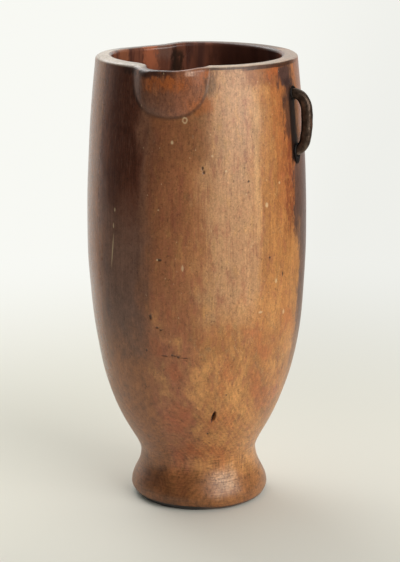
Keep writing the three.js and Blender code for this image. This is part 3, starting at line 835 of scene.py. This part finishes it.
def loop_line():
    """The middle line of the bar from its upper tip to its lower tip, with its thickness and width."""
    up = hole_ends(UPPER_HOLE_HEIGHT, UPPER_HOLE_SLOPE)
    low = hole_ends(LOWER_HOLE_HEIGHT, LOWER_HOLE_SLOPE)
    reach = outside_radius(UPPER_HOLE_HEIGHT - UPPER_CORNER) + LOOP_STAND_OFF
    upper_turn, lower_turn = UPPER_HOLE_HEIGHT - UPPER_CORNER, LOWER_HOLE_HEIGHT + LOWER_CORNER

    def clinched(end):
        """The four points of a tip, from the wall of the hollow to its end."""
        height = end[1][2] - CLINCH_LENGTH
        bent = end[1] + end[2] * CLINCH_REACH
        tip = np.array([inside_radius(height) - 0.4 - TIP_SIZE[0] / 2, 0, height])
        return end[1], bent, bent - [0, 0, CLINCH_LENGTH * CLINCH_LEAN], tip

    upper, lower = clinched(up), clinched(low)
    stretches = [
        (upper[3], upper[2], upper[1], upper[0], TIP_SIZE, TANG_SIZE),
        (up[1], up[1], up[0], up[0], TANG_SIZE, ROOT_SIZE),
        (up[0], up[0] - up[2] * UPPER_RUN, (reach, 0, upper_turn + UPPER_CORNER * CORNER_FULLNESS),
         (reach, 0, upper_turn), ROOT_SIZE, BAR_SIZE),
        ((reach, 0, upper_turn), (reach, 0, upper_turn), (reach, 0, lower_turn), (reach, 0, lower_turn),
         BAR_SIZE, BAR_SIZE),
        ((reach, 0, lower_turn), (reach, 0, lower_turn - LOWER_CORNER * CORNER_FULLNESS),
         low[0] - low[2] * LOWER_RUN, low[0], BAR_SIZE, ROOT_SIZE),
        (low[0], low[0], low[1], low[1], ROOT_SIZE, TANG_SIZE),
        (lower[0], lower[1], lower[2], lower[3], TANG_SIZE, TIP_SIZE),
    ]
    line, sizes = [np.array(stretches[0][0], float)], [np.array(TIP_SIZE, float)]
    for start, lead_out, lead_in, end, first, last in stretches:
        length = np.linalg.norm(np.array(end, float) - np.array(start, float))
        steps = max(6, round(length / 0.9))
        line.extend(bend(start, lead_out, lead_in, end, steps))
        for step in range(1, steps + 1):
            sizes.append(np.array(first) + (np.array(last) - np.array(first)) * step / steps)
    return np.array(line), np.array(sizes)


def blunt(across, sideways):
    """How far a blunt square of half width 1 reaches in a direction."""
    return (abs(across) ** BAR_SQUARENESS + abs(sideways) ** BAR_SQUARENESS) ** (-1 / BAR_SQUARENESS)


def forged_bar_mesh():
    """The bar's points and faces: a ring of points round each step of its middle line, closed at the tips."""
    line, sizes = loop_line()
    points = []
    last = len(line) - 1
    for step, (middle, size) in enumerate(zip(line, sizes)):
        along = line[min(step + 1, last)] - line[max(step - 1, 0)]
        along = along / np.linalg.norm(along)
        out = np.array([along[2], 0, -along[0]])
        ease = math.sqrt(min(1, (min(step, last - step) + 0.4) / 3))
        for side in range(BAR_SIDES):
            angle = side / BAR_SIDES * 2 * math.pi
            across, sideways = math.cos(angle), math.sin(angle)
            # The hammer left the faces uneven, with large blows and small ones
            at = middle + 5 * (out * across + CROSSWISE * sideways)
            blows = noise.noise(Vector(at / 6.5)) * 0.34 + noise.noise(Vector(at / 2.6)) * 0.1 - 0.15
            half = size / 2 + min(1, size[0] / 7) * blows
            reach = out * half[0] * across + CROSSWISE * half[1] * sideways
            points.append(middle + ease * reach * blunt(across, sideways))
    faces = skin(len(line), BAR_SIDES)
    faces.append(tuple(reversed(range(BAR_SIDES))))
    faces.append(tuple(last * BAR_SIDES + side for side in range(BAR_SIDES)))
    return points, faces


def iron_finish():
    """Dark iron with scale, worn blank on the high places and rusty in others."""
    iron = Finish("forged iron")
    blotches = iron.noise(5, 4, 0.6)
    grains = iron.noise(0.9, 3, 0.6)
    iron.colour = iron.over((72, 56, 46), (104, 86, 72), iron.between(blotches, 0.35, 0.62))
    rust = iron.between(iron.noise((7, 7, 12), 4, 0.65), 0.54, 0.66)
    iron.lay((96, 60, 38), rust, 0.7)
    iron.lay((38, 28, 22), iron.between(grains, 0.58, 0.72), 0.8)

    # Painted shade on the side of the bar towards the wood, which the wood and the bar keep from the light
    inward = iron.vector("DOT_PRODUCT", iron.facing(), (-1, 0, 0))
    iron.lay((20, 14, 12), iron.between(inward, 0.15, 0.5), 0.9)
    iron.put(iron.between(rust, 0, 1, 0.75, 0.25), iron.shader.inputs["Metallic"])
    roughness = iron.between(blotches, 0.3, 0.7, 0.5, 0.34)
    relief = iron.plus(blotches, iron.times(grains, 0.35))
    return iron.done(roughness, relief, 0.5)


loop = piece("carrying_loop", *forged_bar_mesh())
loop.data.materials.append(iron_finish())
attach(loop, "root")
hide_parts("handle_staple")


# Black resin, warmed and pressed round each end of the loop to seal its hole. It fills the hole and
# stands round the root in a low lump, and at the lower hole it ran down a little before it set.

# The lump's section from its edge in to the root: how far out, and how high
LUMP_SECTION = ((0.97, 0.35), (0.88, 0.62), (0.72, 0.84), (0.5, 0.97), (0.28, 1), (0.12, 0.92), (0, 0.7))
RESIN_SIDES = 60

# The resin lies this far off the wood and off the iron, and its inner edge is this much smaller
WOOD_GAP, IRON_GAP, PLUG_BEVEL = 0.12, 0.12, 0.7


def resin_mesh(height, slope, spread, stand, run, seed):
    """A plug round the tang with a lump outside; run is how far it ran down below the hole."""
    outer, inner, inward = hole_ends(height, slope)
    length = np.linalg.norm(inner - outer)
    upward = np.array([-inward[2], 0, -inward[0]])
    points = []

    def on_wall(turn, reach, lift):
        """A point on the outside of the vessel, reach away from the hole, lifted off the wood."""
        sideways, up = reach * math.cos(turn), reach * math.sin(turn)
        level = outer[2] + up
        away = outside_radius(level)
        bearing = math.asin(sideways / away)
        return np.array([(away + lift) * math.cos(bearing), (away + lift) * math.sin(bearing), level])

    def along(turn, reach, inside):
        """A point round the hole's middle line, inside the wall."""
        across, up = reach * math.cos(turn), reach * math.sin(turn)
        return outer + inward * inside + CROSSWISE * across + upward * up

    for side in range(RESIN_SIDES):
        turn = side / RESIN_SIDES * 2 * math.pi
        lumps = noise.noise(Vector((math.cos(turn) * 1.6 + seed, math.sin(turn) * 1.6, 0.3)))
        down = max(0, -math.sin(turn)) ** 6
        edge = spread * (1 + 0.16 * lumps) + run * down
        high = stand * (1 + 0.3 * noise.noise(Vector((math.cos(turn) + seed, math.sin(turn), 4))))

        def tang_side(inside):
            """Half of the tang's section on this side, inside millimetres into the wall, and the gap."""
            share = min(1, max(0, inside / length))
            thick = (ROOT_SIZE[0] + (TANG_SIZE[0] - ROOT_SIZE[0]) * share) / 2
            wide = (ROOT_SIZE[1] + (TANG_SIZE[1] - ROOT_SIZE[1]) * share) / 2
            return blunt(math.cos(turn) / wide, math.sin(turn) / thick) + IRON_GAP

        points.append(on_wall(turn, edge, WOOD_GAP))
        near = tang_side(0) + 0.25
        for share, lift in LUMP_SECTION:
            points.append(on_wall(turn, near + (edge - near) * share, WOOD_GAP + high * lift))
        points.append(on_wall(turn, near, 0.15))
        for inside in (1.5, length * 0.35, length * 0.7, length - 0.6):
            points.append(along(turn, tang_side(inside), inside))
        points.append(along(turn, HOLE_RADIUS - PLUG_BEVEL, length - 0.4))
        points.append(along(turn, HOLE_RADIUS - WOOD_GAP, length - 1.2))
        points.append(along(turn, HOLE_RADIUS - WOOD_GAP, 2.5))
        points.append(on_wall(turn, HOLE_RADIUS + 0.1, WOOD_GAP))
    rows = len(points) // RESIN_SIDES
    faces = []
    for side in range(RESIN_SIDES):
        beside = (side + 1) % RESIN_SIDES
        for row in range(rows):
            after = (row + 1) % rows
            faces.append((side * rows + row, beside * rows + row, beside * rows + after, side * rows + after))
    return points, faces


def resin_finish():
    """Black resin, dull and finely cracked, a little browner where it cracked."""
    resin = Finish("black resin")
    cracks = resin.noise(1.6, 4, 0.7)
    resin.colour = resin.over((18, 12, 10), (40, 28, 22), resin.between(cracks, 0.5, 0.75))
    resin.shader.inputs["Specular IOR Level"].default_value = 0.3
    return resin.done(resin.between(cracks, 0.3, 0.7, 0.5, 0.7), cracks, 0.5)


black_resin = resin_finish()
for name, node, height, slope, spread, stand, run, seed in (
        ("upper_resin", "upper_packing", UPPER_HOLE_HEIGHT, UPPER_HOLE_SLOPE, 6.0, 1.0, 0.8, 2),
        ("lower_resin", "lower_packing", LOWER_HOLE_HEIGHT, LOWER_HOLE_SLOPE, 6.6, 1.6, 4.5, 9)):
    plug = piece(name, *resin_mesh(height, slope, spread, stand, run, seed))
    plug.data.materials.append(black_resin)
    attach(plug, "root")
    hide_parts(node)


# The ground: a sweep of pale paper, lying flat under the vessel and rising behind it without an edge.
# Here it is one flat round of paper that fades into the white wall, 22 to 90 cm from the vessel.

FLOOR_RINGS = (60, 90, 130, 200, 300, 450, 700, 1100, 1800, 3000, 6000, 12000, 30000)
FLOOR_SIDES = 96
WALL_WHITE = (0.94, 0.945, 0.9, 1)

# The directions away from the camera, to its right, and to the bright wall
VIEW_AZIMUTH = math.radians(25)
BACKWARD = (-math.sin(VIEW_AZIMUTH), math.cos(VIEW_AZIMUTH), 0)
RIGHTWARD = (math.cos(VIEW_AZIMUTH), math.sin(VIEW_AZIMUTH), 0)
WALL_BEARING = math.radians(130)
TO_WALL = (math.cos(WALL_BEARING), math.sin(WALL_BEARING), 0)


def floor_mesh():
    """A flat round whose rings stand farther apart outward."""
    points = [(0, 0, 0)]
    for radius in FLOOR_RINGS:
        for side in range(FLOOR_SIDES):
            turn = side / FLOOR_SIDES * 2 * math.pi
            points.append((radius * math.cos(turn), radius * math.sin(turn), 0))
    faces = [(0, 1 + side, 1 + (side + 1) % FLOOR_SIDES) for side in range(FLOOR_SIDES)]
    for row in range(1, len(FLOOR_RINGS)):
        first = 1 + row * FLOOR_SIDES
        for side in range(FLOOR_SIDES):
            here, beside = first + side, first + (side + 1) % FLOOR_SIDES
            faces.append((here - FLOOR_SIDES, here, beside, beside - FLOOR_SIDES))
    return points, faces


def seen_rays(studio):
    """1 for rays from the camera and for those that mirrors and glass pass on; and the first alone."""
    rays = studio.add("LightPath").outputs
    mirrored = studio.number("MAXIMUM", rays["Is Glossy Ray"], rays["Is Transmission Ray"])
    return studio.number("MAXIMUM", rays["Is Camera Ray"], mirrored), rays["Is Camera Ray"]


def lit_wall(studio, direction):
    """How bright the studio looks in a direction, and 1 for the rays that are to see it so."""
    level = studio.vector("NORMALIZE", studio.vector("MULTIPLY", direction, (1, 1, 0)))
    lit = studio.between(studio.vector("DOT_PRODUCT", level, TO_WALL), 0.42, 0.92, 0.03, 1)
    seen_all, straight = seen_rays(studio)
    greyer = studio.between(studio.vector("DOT_PRODUCT", level, RIGHTWARD), 0, 0.2, 1, 0.915)
    in_mirrors = studio.times(lit, studio.minus(1, straight))
    return studio.number("MAXIMUM", in_mirrors, studio.times(greyer, straight)), seen_all


def paper_finish():
    """Matt paper, with painted light and shade: lighter at the left, greyer to the right, and darker in front
    as painted shadow; it turns into the white wall farther out.
    """
    paper = Finish("pale paper")
    far = paper.between(paper.vector("LENGTH", paper.place), 220, 900)
    strength, seen_all = lit_wall(paper, paper.place)
    glow = paper.add("Emission")
    glow.inputs["Color"].default_value = WALL_WHITE
    paper.put(strength, glow.inputs["Strength"])
    mixed = paper.shaded(paper.times(far, seen_all), paper.shader, glow)
    paper.put(mixed, paper.tree.nodes["Material Output"].inputs["Surface"])
    # Painted light and shade: the paper is lighter at the left and greyer to the right and in front, as the
    # light falls
    aside = paper.between(paper.vector("DOT_PRODUCT", paper.place, RIGHTWARD), -260, 160)
    nearer = paper.between(paper.vector("DOT_PRODUCT", paper.place, BACKWARD), -80, -330)
    painted_light_and_shade = paper.over((0.81, 0.795, 0.715, 1), (0.715, 0.705, 0.645, 1), aside)
    paper.put(paper.over(painted_light_and_shade, (0.64, 0.63, 0.58, 1), nearer), paper.shader.inputs["Base Color"])
    paper.shader.inputs["Roughness"].default_value = 0.9
    paper.shader.inputs["Specular IOR Level"].default_value = 0.1
    return paper.material


floor = piece("floor", *floor_mesh())
floor.data.materials.append(paper_finish())


# The camera: a long lens on a stand, 1.6 m away and above the vessel, tilted down to it. Its place and
# its focal length follow from the ellipses of the rim and the foot, in millimetres and in pixels.

VIEW_PITCH = math.radians(14.63)
VIEW_DISTANCE, VIEW_HEIGHT, VIEW_ASIDE = 1597, 613, 2.9
PICTURE_HEIGHT, FOCAL_PIXELS = 562, 1849
camera_data = bpy.data.cameras.new("camera")
camera_data.sensor_width = 36
camera_data.lens = FOCAL_PIXELS / PICTURE_HEIGHT * camera_data.sensor_width
camera = bpy.data.objects.new("camera", camera_data)
camera.location = Vector((
    VIEW_ASIDE * math.cos(VIEW_AZIMUTH) + VIEW_DISTANCE * math.sin(VIEW_AZIMUTH),
    VIEW_ASIDE * math.sin(VIEW_AZIMUTH) - VIEW_DISTANCE * math.cos(VIEW_AZIMUTH),
    VIEW_HEIGHT)) * mm
camera.rotation_euler = (math.pi / 2 - VIEW_PITCH, 0, VIEW_AZIMUTH)
bpy.context.scene.collection.objects.link(camera)
bpy.context.scene.camera = camera


# The lamps: two cloth softboxes on stands, in metres and watts. The larger one lights the vessel from
# the camera's right, and the other stands high behind it and lights its edges.

LAMPS_AIM = Vector((0, 0, 0.22))


def softbox(name, turn, rise, distance, width, height, power, colour):
    """A square cloth lamp, turned from the camera to its right, aimed at the middle of the vessel."""
    data = bpy.data.lights.new(name, "AREA")
    data.shape = "RECTANGLE"
    data.size, data.size_y = width, height
    data.energy = power
    data.color = colour
    lamp = bpy.data.objects.new(name, data)
    azimuth, rise = VIEW_AZIMUTH + math.radians(turn), math.radians(rise)
    out = Vector((math.sin(azimuth) * math.cos(rise), -math.cos(azimuth) * math.cos(rise), math.sin(rise)))
    lamp.location = LAMPS_AIM + out * distance
    lamp.rotation_mode = "QUATERNION"
    lamp.rotation_quaternion = out.to_track_quat("Z", "Y")
    bpy.context.scene.collection.objects.link(lamp)


softbox("key", 46, 22, 1.8, 1.5, 1.4, 27, (1, 0.98, 0.95))
softbox("back", -150, 45, 2.2, 1.2, 1.2, 16, (1, 1, 1))


# The room: a studio with a large white wall behind the vessel. The wall is what the camera sees past
# the paper, and most of the room's soft light comes from that side.

def studio_world():
    """The room's light, and the look of its wall for the camera and in mirrors."""
    world = bpy.data.worlds.new("room")
    world.use_nodes = True
    room = Layers(world.node_tree)
    room.tree.nodes.clear()
    direction = room.add("TexCoord").outputs["Generated"]
    wall = room.add("Background")
    wall.inputs["Color"].default_value = WALL_WHITE
    strength, seen_all = lit_wall(room, direction)
    room.put(strength, wall.inputs["Strength"])
    light = room.add("Background")
    light.inputs["Color"].default_value = (0.93, 0.94, 0.9, 1)
    toward = room.vector("DOT_PRODUCT", direction, (BACKWARD[0], BACKWARD[1], 0.35))
    room.put(room.between(toward, -0.3, 0.75, 0.08, 1.1), light.inputs["Strength"])
    mixed = room.shaded(seen_all, light, wall)
    room.put(mixed, room.add("OutputWorld").inputs["Surface"])
    return world


bpy.context.scene.world = studio_world()
bpy.context.scene.view_settings.view_transform = "Standard"
